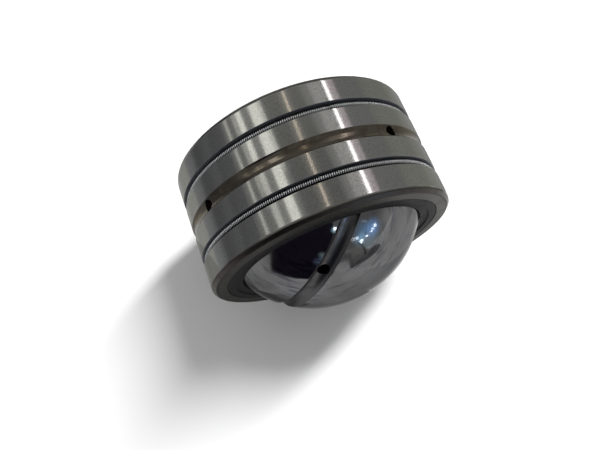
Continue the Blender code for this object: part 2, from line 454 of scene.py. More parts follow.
print("outer ring finishes:", sum("steel" in m.name for m in bpy.data.materials))

# %% [markdown]
# ## Finishes of the ball
# The ball's running surface is polished like a mirror, with a thin film of oil that
# clouds it in places and fine scratches from handling. Its groove is only turned, and
# its end faces and bore are ground. The smears were left by a cloth that wiped over the
# front of the dome in circles, so we add the same group turned to the cloth's axis. They
# are sharper left of the groove and softer right of it.

# %% Ball finishes
SIDES_MEET = 0.014
polished_ball = steel(
    "polished_ball_steel", BALL_PLACE, (0.135, 0.136, 0.139), (0.105, 0.104, 0.103),
    (0.04, 0.02, 0.10), stain_at=(0.42, 0.72), stain_scale=34.0, line_tone=0.06,
    line_height=1e-6, grain_height=1.2e-6, grain_tone=0.10, worn=(0.15, 0.15, 0.15),
    wear=0.3, edge=0.46,
)
tree = polished_ball.node_tree
right_side = fade(tree, along_axis(tree, BALL_PLACE), 0.0, SIDES_MEET)
left_side = fade(tree, along_axis(tree, BALL_PLACE), SIDES_MEET, 0.0)
wiped = own_axis(tree, WIPED_PLACE)
for side, long_by, thin_by, start, share in (
    (left_side, 50.0, 700.0, 0.59, 0.65), (left_side, 90.0, 1500.0, 0.61, 0.8),
    (right_side, 60.0, 420.0, 0.60, 0.42), (right_side, 90.0, 900.0, 0.62, 0.6),
):
    smears = use_group(tree, scratch_tree, wiped, Long=long_by, Thin=thin_by, Start=start)
    there = add(tree, "ShaderNodeMath", operation="MULTIPLY")
    join(tree, (smears["Mask"], there, 0), (side, there, 1))
    tinted(polished_ball, (0.040, 0.040, 0.055), there.outputs["Value"], share)

ball_groove = steel(
    "ball_groove_steel", BALL_PLACE, (0.088, 0.086, 0.088), (0.059, 0.057, 0.055),
    (0.27, 0.08, 0.12), stain_scale=90.0, fineness=900.0, line_height=1.2e-5, wear=0.2,
    worn=(0.15, 0.15, 0.15), edge=0.45,
)
ball_end = steel(
    "ball_end_face_steel", BALL_PLACE, (0.40, 0.40, 0.40), (0.30, 0.30, 0.30),
    (0.2, 0.08, 0.1), fineness=80.0,
)
bore_steel = steel(
    "bore_steel", BALL_PLACE, (0.38, 0.38, 0.375), (0.28, 0.275, 0.27),
    (0.16, 0.08, 0.1),
)
print("the ball's polished finish has", len(tree.nodes), "nodes")

# %% [markdown]
# ## Finishes of the springs and seals
# The spring wire is drawn steel: bright where the coils stand proud, and painted dark lower down,
# partly for grease and partly as painted shade deep in the groove. The seals are moulded rubber,
# not metal. Rubber is dark and half matt, with fine rings from its mould and some grey dust.

# %% Spring wire
GREASE_SHADE_DEPTH, BARE_DEPTH = 0.0011, 0.0019
spring_wire = steel(
    "spring_wire_steel", RING_PLACE, (0.62, 0.64, 0.65), (0.52, 0.53, 0.54),
    (0.26, 0.03, 0.05), stain_scale=60.0, line_tone=0.08, grain_height=1e-6,
    grain_tone=0.05,
)
tree = spring_wire.node_tree
off_axis = distance_from_axis(tree, RING_PLACE)
# Painted shade and grease: the wire turns dark below its crest, deeper in the groove, where shade
# falls.
grease_and_shade = fade(
    tree, off_axis, SPRING_RING_RADIUS + BARE_DEPTH, SPRING_RING_RADIUS + GREASE_SHADE_DEPTH
)
tinted(spring_wire, (0.05, 0.048, 0.046), grease_and_shade)
print("wire finish:", spring_wire.name)

# %% Seal rubber
RIPPLE_RATE = 9000.0
seal_rubber, tree, shader = new_finish("seal_rubber")
shader.inputs["Specular IOR Level"].default_value = 0.015
vector = own_axis(tree, RING_PLACE)
ripples = add(tree, "ShaderNodeMath", {1: RIPPLE_RATE}, operation="MULTIPLY")
waves = add(tree, "ShaderNodeMath", operation="SINE")
join(tree, (distance_from_axis(tree, RING_PLACE), ripples, 0), (ripples, "Value", waves, 0))
dust = use_group(tree, smudge_tree, vector, Scale=70.0, Start=0.5, End=0.8)["Mask"]
grain = use_group(tree, grain_tree, vector, Scale=1800.0)["Grain"]
lips = use_group(tree, lip_tree, vector, Amount=0.8)["Mask"]
colour = mixed(tree, (0.016, 0.0155, 0.016), (0.034, 0.033, 0.033), dust, 0.6)
colour = mixed(tree, colour, (0.045, 0.045, 0.045), lips)
more_rough = scaled_sum(tree, (dust, 0.2), (grain, 0.15))
height = scaled_sum(tree, (waves.outputs["Value"], 6e-6), (grain, 2e-5))
feed(tree, shader, colour, 0.34, more_rough, height)
print("rubber finish:", seal_rubber.name)

# %% [markdown]
# ## From outline to turned piece
# A lathe part is one closed outline turned about an axis, so that is how we model it.
# No real edge is perfectly sharp, and a rounded edge catches the light, so the first
# helper rounds the corners of an outline. It also marks the rounding with a number
# called lip, which the wear effect reads. The second helper turns the outline, gives
# each face its finish and makes all faces point outwards.

# %% Rounding an outline
def eased(corners, arc_steps=5, guard=0.0004):
    """Round the corners of a closed outline.

    A corner is (radius, height, easing, finish): easing is how far the rounding
    reaches along both faces, and finish belongs to the face after the corner.
    """
    points = []
    for i, (radius, height, easing, finish) in enumerate(corners):
        if not easing:
            points.append((radius, height, finish, 0.0))
            continue
        here = Vector((radius, height))
        back = Vector(corners[i - 1][:2]) - here
        on = Vector(corners[(i + 1) % len(corners)][:2]) - here
        room = min(back.length, on.length)
        reach = min(easing, 0.3 * room)
        clear = reach + min(guard, 0.15 * room)
        back.normalize()
        on.normalize()
        first, last = here + back * reach, here + on * reach
        points.append((*(here + back * clear), corners[i - 1][3], 0.0))
        for k in range(arc_steps + 1):
            s = k / arc_steps
            bent = first * (1 - s) ** 2 + here * 2 * s * (1 - s) + last * s ** 2
            points.append((*bent, finish if k > arc_steps // 2 else corners[i - 1][3], 1.0))
        points.append((*(here + on * clear), finish, 0.0))
    return points


def arc(circle_radius, start, end, finish, steps, centre=0.0):
    """Corners along a circle's outline from one height to another."""
    first, last = math.asin(start / circle_radius), math.asin(end / circle_radius)
    angles = [first + (last - first) * k / steps for k in range(steps + 1)]
    return [
        (centre + circle_radius * math.cos(a), circle_radius * math.sin(a), 0.0, finish)
        for a in angles
    ]


def flipped(corners):
    """The same corners on the other side of height 0, in running order."""
    finishes = [c[3] for c in corners]
    after = finishes[:-1][::-1] + finishes[-1:]
    return [(r, -h, e, f) for (r, h, e, _), f in zip(reversed(corners), after)]


# %% Turning an outline
SHARP_ANGLE = math.radians(42.0)


def placed(name, data, matrix=None):
    """Make an object of a mesh, lamp or camera and put it in the scene."""
    made = bpy.data.objects.new(name, data)
    bpy.context.scene.collection.objects.link(made)
    if matrix is not None:
        made.matrix_world = matrix
    return made


def outward(mesh, hard_edges=True):
    """Make all faces point outwards and shade them smooth but for hard edges."""
    bm = bmesh.new()
    bm.from_mesh(mesh)
    bmesh.ops.recalc_face_normals(bm, faces=bm.faces)
    bm.to_mesh(mesh)
    bm.free()
    mesh.shade_smooth()
    if hard_edges:
        mesh.set_sharp_from_angle(angle=SHARP_ANGLE)


def settled(piece):
    """Turn a piece's modifiers into a plain mesh and remove them."""
    depsgraph = bpy.context.evaluated_depsgraph_get()
    mesh = bpy.data.meshes.new_from_object(piece.evaluated_get(depsgraph))
    piece.modifiers.clear()
    piece.data = mesh
    return mesh


def turn(name, outline, finishes, place, start=0.0, sweep=360.0, steps=360):
    """Turn an outline about its axis; finishes maps each finish's name to a material."""
    whole = sweep >= 360.0
    rings = steps if whole else steps + 1
    count = len(outline)
    order = list(finishes)
    angles = [math.radians(start + sweep * k / steps) for k in range(rings)]
    corners = [(r * math.cos(a), r * math.sin(a), h) for a in angles for r, h, _, _ in outline]
    faces, slots = [], []
    for k in range(steps):
        here, there = k * count, (k + 1) % rings * count
        for i in range(count):
            j = (i + 1) % count
            faces.append((here + i, here + j, there + j, there + i))
            slots.append(order.index(outline[i][2]))
    if not whole:
        faces += [tuple(range(count)), tuple(range(steps * count, rings * count))]
        slots += [order.index("split face")] * 2
    mesh = bpy.data.meshes.new(name)
    mesh.from_pydata(corners, [], faces)
    mesh.polygons.foreach_set("material_index", slots)
    lips = mesh.attributes.new("lip", "FLOAT", "POINT")
    lips.data.foreach_set("value", [point[3] for _ in angles for point in outline])
    mesh.transform(place)
    for material in finishes.values():
        mesh.materials.append(material)
    outward(mesh)
    return placed(name, mesh)


# %% [markdown]
# ## Drilled holes
# An oil hole is a round cylinder taken away from the body. The Boolean modifier does
# this, and it can carry the drill's own material over to the wall of the hole. We then
# keep the result as a plain mesh and remove the drill.

# %% Drilling
def drill(piece, radius, angles, inner, outer, wall, place, sides=40):
    """Cut radial holes through a piece's wall, at these angles round its axis."""
    inner, outer = inner - DRILL_OVERRUN, outer + DRILL_OVERRUN
    bm = bmesh.new()
    for angle in angles:
        put = (
            place
            @ Matrix.Rotation(math.radians(angle), 4, "Z")
            @ Matrix.Translation(((inner + outer) / 2, 0.0, 0.0))
            @ Matrix.Rotation(math.pi / 2, 4, "Y")
        )
        bmesh.ops.create_cone(
            bm, cap_ends=True, segments=sides, radius1=radius, radius2=radius,
            depth=outer - inner, matrix=put,
        )
    tool_mesh = bpy.data.meshes.new("drill")
    bm.to_mesh(tool_mesh)
    bm.free()
    tool_mesh.materials.append(wall)
    tool = placed("drill", tool_mesh)
    cut = piece.modifiers.new("holes", "BOOLEAN")
    cut.operation, cut.solver, cut.material_mode = "DIFFERENCE", "EXACT", "TRANSFER"
    cut.object = tool
    outward(settled(piece))
    bpy.data.objects.remove(tool)
    print(piece.name, "drilled:", len(piece.data.polygons), "faces")


# %% [markdown]
# ## The outer ring in two halves
# The outline runs down the outside, over the grooves, and back up the hollow raceway.
# The oil groove has a round bottom, and the spring grooves are square. Both halves use
# the same outline, each turned through almost half a turn, so that a hairline gap is
# left where the real ring is split.

# %% Outer ring outline
def outer_side():
    """Corners from the end recess to the lip of the oil groove."""
    top, bottom = SPRING_HEIGHT + SPRING_ROOM, SPRING_HEIGHT - SPRING_ROOM
    floor = SPRING_RING_RADIUS - SPRING_ROOM
    inset, drop = CHAMFER_SHOULDER
    return [
        (RECESS_RADIUS, RECESS_FLOOR, 0.0, "end"),
        (RECESS_RADIUS, OUTER_HALF, 0.0003, "end"),
        (OUTER_RADIUS - OUTER_CHAMFER, OUTER_HALF, 0.0004, "chamfer"),
        (OUTER_RADIUS - inset, OUTER_HALF - drop, 0.0006, "land"),
        (OUTER_RADIUS, OUTER_HALF - LAND_START, 0.0005, "land"),
        (OUTER_RADIUS, top, 0.0002, "spring groove"),
        (floor, top, 0.0004, "spring groove"),
        (floor, bottom, 0.0004, "spring groove"),
        (OUTER_RADIUS, bottom, 0.0002, "land"),
    ]


def refinished(corners, place, finish):
    """Name another finish for the face after one of the corners."""
    corners[place] = (*corners[place][:3], finish)
    return corners


def round_cut(surface, width, depth, inward, finish, after, steps=12, lip=0.0003):
    """A round-bottomed groove at height 0 in an outside (-1) or in a bore (1)."""
    section = ((width / 2) ** 2 + depth ** 2) / (2 * depth)
    reach = math.asin(width / 2 / section)
    corners = []
    for k in range(steps + 1):
        a = reach * (1 - 2 * k / steps)
        sunk = section * math.cos(a) - (section - depth)
        ease = lip if k in (0, steps) else 0.0
        corners.append((surface + inward * sunk, section * math.sin(a), ease, finish))
    return refinished(corners, -1, after)


side = outer_side()
other_side = refinished(flipped(side), -1, "raceway")
oil_groove = round_cut(
    OUTER_RADIUS, OIL_GROOVE_WIDTH, OIL_GROOVE_DEPTH, -1, "oil groove", "land", steps=14
)
raceway = refinished(arc(RACE_RADIUS, -RECESS_FLOOR, RECESS_FLOOR, "raceway", 24), -1, "end")
ring_outline = eased(side + oil_groove + other_side + raceway)
print("the ring's outline has", len(ring_outline), "points")

# %% Outer ring halves
ring_finishes = {
    "land": ground_steel,
    "oil groove": brown_groove,
    "chamfer": chamfer_steel,
    "end": end_steel,
    "spring groove": greasy_steel,
    "raceway": race_steel,
    "split face": split_steel,
}
hairline = math.degrees(SPLIT_GAP / 2 / NARROWEST_RADIUS)
halves = []
for name, start in (("outer_half_upper", SPLIT_ANGLE), ("outer_half_lower", SPLIT_ANGLE + 180)):
    half = turn(
        name, ring_outline, ring_finishes, RING_PLACE,
        start + hairline, 180 - 2 * hairline, 180,
    )
    drill(
        half, OIL_HOLE_RADIUS, (start + 45, start + 135), RACE_RADIUS, OUTER_RADIUS,
        hole_steel, RING_PLACE,
    )
    halves.append(half)

# %% [markdown]
# ## The inner ring
# The same helpers make the ball. Its outline runs from the front end face over the
# ball, through the oil groove in its middle, to the rear end face and back through the
# bore, which has a groove of its own. Then it is swung out of line with the ring.

# %% Inner ring
def on_sphere(sphere, height):
    """Radius of a sphere's section at a height."""
    return math.sqrt(sphere ** 2 - height ** 2)


groove_lip = BALL_GROOVE_WIDTH / 2
upper_ball = [(FACE_EDGE, BALL_END, 0.0002, "end")] + arc(
    BALL_RADIUS, on_sphere(BALL_RADIUS, FACE_EDGE + FACE_EASING), groove_lip, "ball", 36
)[:-1]
groove = round_cut(
    on_sphere(BALL_RADIUS, groove_lip), BALL_GROOVE_WIDTH, BALL_GROOVE_DEPTH, -1,
    "groove", "ball", lip=0.0001,
)
lower_ball = refinished(flipped(upper_ball), -1, "end")
bore_lip, bore_end = BORE_RADIUS + BORE_CHAMFER, BALL_END - BORE_CHAMFER
bore_groove = round_cut(BORE_RADIUS, BORE_GROOVE_WIDTH, BORE_GROOVE_DEPTH, 1, "bore", "bore")
bore = [(bore_lip, -BALL_END, 0.0002, "bore"), (BORE_RADIUS, -bore_end, 0.0004, "bore")]
bore += [(r, -h, e, f) for r, h, e, f in bore_groove]
bore += [(BORE_RADIUS, bore_end, 0.0004, "bore"), (bore_lip, BALL_END, 0.0002, "end")]
ball_outline = eased(refinished(upper_ball, 0, "ball") + groove + lower_ball + bore)
inner_ring = turn(
    "inner_ring_ball", ball_outline,
    {"ball": polished_ball, "groove": ball_groove, "end": ball_end, "bore": bore_steel},
    BALL_PLACE, steps=300,
)
drill(
    inner_ring, BALL_HOLE_RADIUS, (0, 90, 180, 270), BORE_RADIUS, BALL_RADIUS,
    hole_steel, BALL_PLACE,
)

# %% [markdown]
# ## The seals
# Each seal is a flat rubber ring in the end recess of the outer ring. Its outer band
# stands a little higher, and its lip reaches in towards the ball and stops just short
# of it. The rear seal is the front one, flipped.

# %% Seals
SEAL_BAND = 0.0043
LIP_DROP, LIP_THICKNESS, LIP_GAP, LIP_DEPTH = 0.0008, 0.0014, 0.0003, 0.0012
SEAT_GAP, FACE_SINK, STEP_SLOPE = 0.0003, 0.0002, 0.0004
seat, face, rim = RECESS_FLOOR + SEAT_GAP, OUTER_HALF - FACE_SINK, RECESS_RADIUS - SEAT_GAP
lip_face = face - LIP_DROP
lip_back = lip_face - LIP_THICKNESS
lip_sphere = BALL_RADIUS + LIP_GAP
relief_sphere = lip_sphere + LIP_DEPTH
step = rim - SEAL_BAND
seal_corners = [(radius, height, easing, "rubber") for radius, height, easing in (
    (rim, face, 0.0003), (rim, seat, 0.0), (on_sphere(relief_sphere, seat), seat, 0.0),
    (on_sphere(relief_sphere, lip_back), lip_back, 0.0002),
    (on_sphere(lip_sphere, lip_back), lip_back, 0.0002),
    (on_sphere(lip_sphere, lip_face), lip_face, 0.0003),
    (step - STEP_SLOPE, lip_face, 0.0002), (step, face, 0.0002),
)]
seals = []
for name, corners in (("seal_ring_front", seal_corners), ("seal_ring_rear", flipped(seal_corners))):
    seals.append(turn(name, eased(corners), {"rubber": seal_rubber}, RING_PLACE))
    print(name, "has", len(seals[-1].data.polygons), "faces")

# %% [markdown]
# ## The garter springs
# A garter spring is a long thin coil whose ends are joined, so it follows a rule: walk
# round a large circle while turning round a small one. Geometry Nodes suits this well.
# A circle gets as many points as the whole coil needs, a formula moves each point, and
# a tube is drawn along it. The coil is thinner where its ends are screwed together,
# and the two ends lie a hair out of line there.

# %% The garter spring tree
coil_tree, given, out = new_group("Garter spring", [
    ("Ring Radius", FLOAT, SPRING_RING_RADIUS), ("Coil Radius", FLOAT, COIL_RADIUS),
    ("Wire Radius", FLOAT, WIRE_RADIUS), ("Coils", WHOLE, COILS),
    ("Points per Coil", WHOLE, 10), ("Wire Sides", WHOLE, 6),
    ("Height", FLOAT, 0.0), ("Joint Angle", FLOAT, 0.0), ("Joint Step", FLOAT, 0.0003),
    ("Finish", "NodeSocketMaterial", None),
], [("Geometry", "NodeSocketGeometry")], "GeometryNodeTree")


def maths(operation, *values):
    """One step of arithmetic in the spring's tree, on sockets, its inputs or numbers."""
    node = add(coil_tree, "ShaderNodeMath", operation=operation)
    for socket, value in zip(node.inputs, values):
        if isinstance(value, (int, float)):
            socket.default_value = value
        else:
            coil_tree.links.new(given.outputs[value] if isinstance(value, str) else value, socket)
    return node.outputs["Value"]


# %% Moving the points of the coil
JOINT_REACH, THINNEST = 0.006, 0.88
total = maths("MULTIPLY", "Coils", "Points per Coil")
share = maths("DIVIDE", add(coil_tree, "GeometryNodeInputIndex").outputs["Index"], total)
turn_share = maths("DIVIDE", "Joint Angle", math.tau)
past_joint = maths("FRACT", maths("ADD", maths("SUBTRACT", share, turn_share), 1.0))
to_joint = maths("MINIMUM", past_joint, maths("SUBTRACT", 1.0, past_joint))
nearness = add(coil_tree, "ShaderNodeMapRange", {"From Min": 0.0, "From Max": JOINT_REACH})
coil_tree.links.new(to_joint, nearness.inputs["Value"])
thinner = maths("MULTIPLY_ADD", nearness.outputs["Result"], 1.0 - THINNEST, THINNEST)
coil_radius = maths("MULTIPLY", "Coil Radius", thinner)
centre_radius = maths("SUBTRACT", coil_radius, "Wire Radius")
round_ring = maths("MULTIPLY", share, math.tau)
round_coil = maths("MULTIPLY", round_ring, "Coils")
radius = maths("MULTIPLY_ADD", maths("COSINE", round_coil), centre_radius, "Ring Radius")
drift = maths("MULTIPLY", maths("SUBTRACT", past_joint, 0.5), "Joint Step")
level = maths("ADD", "Height", drift)
height = maths("MULTIPLY_ADD", maths("SINE", round_coil), centre_radius, level)
place = add(coil_tree, "ShaderNodeCombineXYZ")
join(
    coil_tree, (maths("MULTIPLY", radius, maths("COSINE", round_ring)), place, "X"),
    (maths("MULTIPLY", height, -1.0), place, "Y"),
    (maths("MULTIPLY", radius, maths("SINE", round_ring)), place, "Z"),
)
print("the spring's tree has", len(coil_tree.nodes), "nodes")

# %% Drawing the wire
ring = add(coil_tree, "GeometryNodeCurvePrimitiveCircle", mode="RADIUS")
wire = add(coil_tree, "GeometryNodeCurvePrimitiveCircle", mode="RADIUS")
moved = add(coil_tree, "GeometryNodeSetPosition")
tube = add(coil_tree, "GeometryNodeCurveToMesh")
smooth = add(coil_tree, "GeometryNodeSetShadeSmooth")
real = add(coil_tree, "GeometryNodeRealizeInstances")
finish = add(coil_tree, "GeometryNodeSetMaterial")
join(
    coil_tree, (total, ring, "Resolution"), (given, "Wire Sides", wire, "Resolution"),
    (given, "Wire Radius", wire, "Radius"), (ring, "Curve", moved, "Geometry"),
    (place, "Vector", moved, "Position"), (moved, "Geometry", tube, "Curve"),
    (wire, "Curve", tube, "Profile Curve"), (tube, "Mesh", smooth, "Geometry"),
    (smooth, "Geometry", real, "Geometry"), (real, "Geometry", finish, "Geometry"),
    (given, "Finish", finish, "Material"), (finish, "Geometry", out, "Geometry"),
)


# %% Two springs from one tree
def garter_spring(name, height, joint_angle, joint_step):
    """Run the tree with its own values and keep the result as a plain mesh."""
    host = placed(name, bpy.data.meshes.new(name))
    modifier = host.modifiers.new("coil", "NODES")
    modifier.node_group = coil_tree
    chosen = {
        "Height": height, "Joint Angle": math.radians(joint_angle), "Joint Step": joint_step,
        "Finish": spring_wire,
    }
    for item in coil_tree.interface.items_tree:
        if item.item_type == "SOCKET" and item.name in chosen:
            modifier[item.identifier] = chosen[item.name]
    made = settled(host)
    outward(made, hard_edges=False)
    made.attributes.new("lip", "FLOAT", "POINT")
    print(name, "has", len(made.polygons), "faces")
    return host


FRONT_SHIFT, REAR_SHIFT, JOINT_STEP = 0.0003, 0.0001, 0.0002
springs = [
    garter_spring("garter_coil_front", SPRING_HEIGHT - FRONT_SHIFT, 250.0, JOINT_STEP),
    garter_spring("garter_coil_rear", REAR_SHIFT - SPRING_HEIGHT, 77.9, -JOINT_STEP),
]

# %% [markdown]
# ## Each piece rides on its body
# The ring, its springs and its seals are one body, and the ball is the other. Each new piece also
# stands for the CAD node that it replaces.

# %% Ride and replace
def past_box(piece, node):
    """How far a piece stands outside its CAD node's box at most, in millimetres."""
    low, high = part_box(node)
    past = (max(low[i] - c[i], c[i] - high[i]) for c in piece.bound_box for i in range(3))
    return round(max(past) * 1000, 2)


stand_ins = (
    (halves[0], "outer_ring", "outer_ring_upper_half", "outer_ring_steel"),
    (halves[1], "outer_ring", "outer_ring_lower_half", "outer_ring_steel"),
    (springs[0], "outer_ring", "garter_spring_front", "spring_wire"),
    (springs[1], "outer_ring", "garter_spring_rear", "spring_wire"),
    (seals[0], "outer_ring", "seal_front", "seal_rubber"),
    (seals[1], "outer_ring", "seal_rear", "seal_rubber"),
    (inner_ring, "ball", "inner_ring", "ball_steel"),
)
for piece, body, node, finish_slot in stand_ins:
    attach(piece, body)
    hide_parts(node)
    print(piece.name, "stands", past_box(piece, node), "mm outside its node's box at most")

# %% [markdown]
# ## Floor, world and main lamp
# The floor is a large pale sheet just under the ring. A grey world lights the steel
# evenly from all round, and a tall narrow window at the back right throws the shadow:
# its sides stay sharp, and its end fades. Steel shows lamps as bright patches, so the
# window is kept out of its reflections, and strip lamps give it its bands of light.

# %% Floor and world
FLOOR_LEVEL = -0.0752
FLOOR_REACH = 6
WORLD_LEVEL = 0.42
SQUARE = ((-1, -1), (1, -1), (1, 1), (-1, 1))
bpy.context.scene.view_settings.view_transform = "Standard"
floor_mesh = bpy.data.meshes.new("floor")
floor_mesh.from_pydata(
    [(FLOOR_REACH * x, FLOOR_REACH * y, FLOOR_LEVEL) for x, y in SQUARE], [], [(0, 1, 2, 3)]
)
floor = placed("floor", floor_mesh)
pale, tree, shader = new_finish("pale_floor")
shader.inputs["Roughness"].default_value = 0.9
shader.inputs["Specular IOR Level"].default_value = 0.1
where = add(tree, "ShaderNodeTexCoord")
faint = use_group(tree, smudge_tree, where.outputs["Object"], Scale=3.0)["Mask"]
colour = mixed(tree, (0.93, 0.93, 0.93), (0.915, 0.915, 0.915), faint)
tree.links.new(colour, shader.inputs["Base Color"])
floor_mesh.materials.append(pale)
floor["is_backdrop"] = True

world = bpy.data.worlds.new("studio")
bpy.context.scene.world = world
world.use_nodes = True
sky = world.node_tree.nodes["Background"]
sky.inputs["Color"].default_value = (1.0, 1.0, 1.0, 1.0)
sky.inputs["Strength"].default_value = WORLD_LEVEL
print("floor at", FLOOR_LEVEL, "and world at", WORLD_LEVEL)

# %% Main lamp
def area_lamp(name, size, energy, matrix, colour=(1.0, 1.0, 1.0), unseen_by=("camera", "diffuse")):
    """A rectangular lamp that some kinds of ray don't see."""
    data = bpy.data.lights.new(name, "AREA")
    data.shape = "RECTANGLE"
    data.size, data.size_y = size
    data.energy, data.color = energy, colour
    lamp = placed(name, data, matrix)
    for ray in unseen_by:
        setattr(lamp, "visible_" + ray, False)
    return lamp


def facing_back(direction, distance):
    """The place and turn of a lamp that looks back to the bearing from this direction."""
    turned = direction.to_track_quat("Z", "Y").to_matrix().to_4x4()
    return Matrix.Translation(direction * distance) @ turned


def across(distance, angle):
    """How wide a lamp at this distance is to fill an angle in degrees."""
    return 2 * distance * math.tan(math.radians(angle) / 2)


WINDOW_DISTANCE, WINDOW_LEVEL = 5.0, 0.76
WINDOW_WIDE, WINDOW_TALL = 8.0, 30.0
to_window = Vector((0.525, 0.295, 0.80)).normalized()
window = area_lamp(
    "window",
    (across(WINDOW_DISTANCE, WINDOW_WIDE), across(WINDOW_DISTANCE, WINDOW_TALL)),
    4 * WINDOW_LEVEL * math.pi * WINDOW_DISTANCE ** 2 / to_window.z,
    facing_back(to_window, WINDOW_DISTANCE), unseen_by=("camera", "glossy"),
)
print("window energy", round(window.data.energy, 1))

# %% [markdown]
# ## Camera
# The camera stands above and in front of the bearing, at the photograph's angle. Its
# place and its three directions were worked out from the ellipses of the ring.

# %% Camera
camera_data = bpy.data.cameras.new("camera")
camera_data.sensor_width, camera_data.lens = 36.0, 32.783
camera_data.clip_start, camera_data.clip_end = 0.01, 50.0
right = Vector((0.93806843, -0.34645003, 0.0))
up = Vector((0.32579922, 0.88215309, 0.3400894))
back = Vector((-0.11782398, -0.31902713, 0.94039311))
turned = Matrix((right, up, back)).transposed().to_4x4()
EYE = Vector((-0.051866, -0.119504, 0.315149))
camera = placed("camera", camera_data, Matrix.Translation(EYE) @ turned)
bpy.context.scene.camera = camera
print("camera at", [round(v, 3) for v in camera.location])

# %% [markdown]
# ## Strip lamps for the ring
# A polished cylinder turns every lamp beside it into a band along its length. To put a
# band at a chosen place, we follow the light backwards: from the camera to that place
# on the ring, and from there by the law of reflection to the lamp. The strips stand
# behind the ring, parallel to its axis. The camera doesn't see them.

# %% Where a strip has to stand
STRIP_DISTANCE = 1.2
LEAN_PER_DEGREE = 0.111


def strip_angle(ring_angle):
    """Angle round the axis, from straight up, of what shows at this angle of the ring."""
    a = math.radians(ring_angle)
    point = Vector((math.sin(a), math.cos(a))) * OUTER_RADIUS
    normal = point.normalized()
    ray = (point - Vector((EYE.x, EYE.z))).normalized()
    leaves = ray - 2 * ray.dot(normal) * normal
    along = point.dot(leaves)
    run = -along + math.sqrt(along ** 2 - OUTER_RADIUS ** 2 + STRIP_DISTANCE ** 2)
    hit = point + leaves * run
    return math.atan2(hit.x, hit.y)


def strip(name, first, last, level, colour, slant=0.0, near=0.06, far=1.06):
    """A strip lamp that shows between two angles of the ring, at this brightness.

    slant is how many degrees further round its band lies at the ring's far end.
    """
    start, end = strip_angle(first), strip_angle(last)
    middle = (start + end) / 2
    width, length = 2 * STRIP_DISTANCE * math.tan((end - start) / 2), far - near
    outward_axis = Vector((math.sin(middle), 0.0, math.cos(middle)))
    sideways = Vector((0.0, 1.0, 0.0)).cross(outward_axis)
    facing = Matrix((sideways, Vector((0.0, 1.0, 0.0)), outward_axis)).transposed()
    facing = facing @ Matrix.Rotation(-math.atan(LEAN_PER_DEGREE * slant), 3, "Z")
    spot = outward_axis * STRIP_DISTANCE + Vector((0.0, (near + far) / 2, 0.0))
    area_lamp(
        name, (width, length), 4 * width * length * level,
        Matrix.Translation(spot) @ facing.to_4x4(), colour,
    )
    print(name, "stands at", round(math.degrees(middle), 1), "degrees")


# %% The strips
GREENISH, LEFT_WHITE, RIGHT_WHITE = (1.0, 1.0, 0.92), (1.0, 1.0, 0.94), (1.0, 0.97, 0.97)
for numbers in (
    ("strip_left_thin", -30.4, -29.2, 0.82, GREENISH, -1.1),
    ("strip_left_faint", -27.1, -25.5, 0.52, GREENISH, -1.0, 0.45),
    ("strip_left_narrow", -24.7, -22.3, 0.88, LEFT_WHITE, -0.8),
    ("strip_left_narrow_far", -25.1, -22.7, 0.68, LEFT_WHITE, -0.8, 0.55),
    ("strip_left_between", -22.2, -19.0, 0.12, LEFT_WHITE, -0.5),
    ("strip_left_wide", -18.9, -15.2, 1.45, LEFT_WHITE, -0.3),
    ("strip_left_last", -15.2, -13.6, 0.10, LEFT_WHITE, -0.3),
    ("strip_left_last_far", -15.4, -13.6, 0.88, LEFT_WHITE, -0.3, 0.52),
    ("strip_top_warm", -4.4, -3.9, 2.3, (1.0, 0.84, 0.70), 0.5),
    ("strip_top_soft", -6.6, -2.0, 0.10, (1.0, 0.90, 0.78), 0.5),
    ("strip_right_faint", 3.0, 6.4, 0.12, RIGHT_WHITE),
    ("strip_right_soft", 6.4, 11.4, 0.38, RIGHT_WHITE),
    ("strip_right_white", 12.3, 13.4, 5.2, (1.0, 0.96, 0.98), 1.2),
    ("strip_right_halo", 13.2, 16.8, 0.55, (1.0, 0.82, 0.90), 1.2),
):
    strip(*numbers)

# %% [markdown]
# ## Lamps for the ball
# The ball shows what stands in front of the bearing. A far row of small bluish lamps
# stands to the right, with a soft glow round them. A lamp with soft edges is made from
# a card that shines most in its middle and lets everything else pass through.

# %% Ball lamps
LAMP_DISTANCE = 2.0


def from_front(azimuth, elevation):
    """Direction from the ball: azimuth 0 faces the viewer's end, 90 is +X."""
    a, e = math.radians(azimuth), math.radians(elevation)
    return Vector((math.sin(a) * math.cos(e), -math.cos(a) * math.cos(e), math.sin(e)))


for number, (azimuth, elevation, spread, brightness) in enumerate((
    (5.6, 36.4, 2.2, 14.0), (3.3, 37.5, 1.5, 5.0), (1.5, 38.2, 1.1, 1.6),
    (19.5, 17.0, 1.6, 9.0), (22.7, 16.0, 1.8, 12.0), (25.2, 10.1, 2.2, 16.0),
    (31.1, 10.8, 1.6, 12.0), (37.0, 10.7, 1.5, 12.0), (39.0, 11.3, 1.5, 12.0),
    (42.2, 12.0, 2.0, 14.0), (35.4, 25.9, 1.4, 0.9), (36.7, 24.2, 1.4, 1.1),
    (37.8, 22.6, 1.4, 0.8),
)):
    size = across(LAMP_DISTANCE, spread)
    area_lamp(
        "far_lamp_%d" % number, (size, size), 4 * size ** 2 * brightness,
        facing_back(from_front(azimuth, elevation), LAMP_DISTANCE), (0.8, 0.9, 1.0),
    )
print("lamps for the ball:", number + 1)


# %% Soft glows and cards
def reflected_card(name, corners, paint):
    """A flat card of the studio that only shows in reflections and has no shadow."""
    mesh = bpy.data.meshes.new(name)
    mesh.from_pydata(corners, [], [tuple(range(len(corners)))])
    mesh.materials.append(paint)
    made = placed(name, mesh)
    made.visible_camera = made.visible_diffuse = made.visible_shadow = False
    made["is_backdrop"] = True


def bare_paint(name):
    """A new material without a shader, its node tree and its output."""
    paint, tree, shader = new_finish(name)
    tree.nodes.remove(shader)
    return paint, tree, tree.nodes["Material Output"]


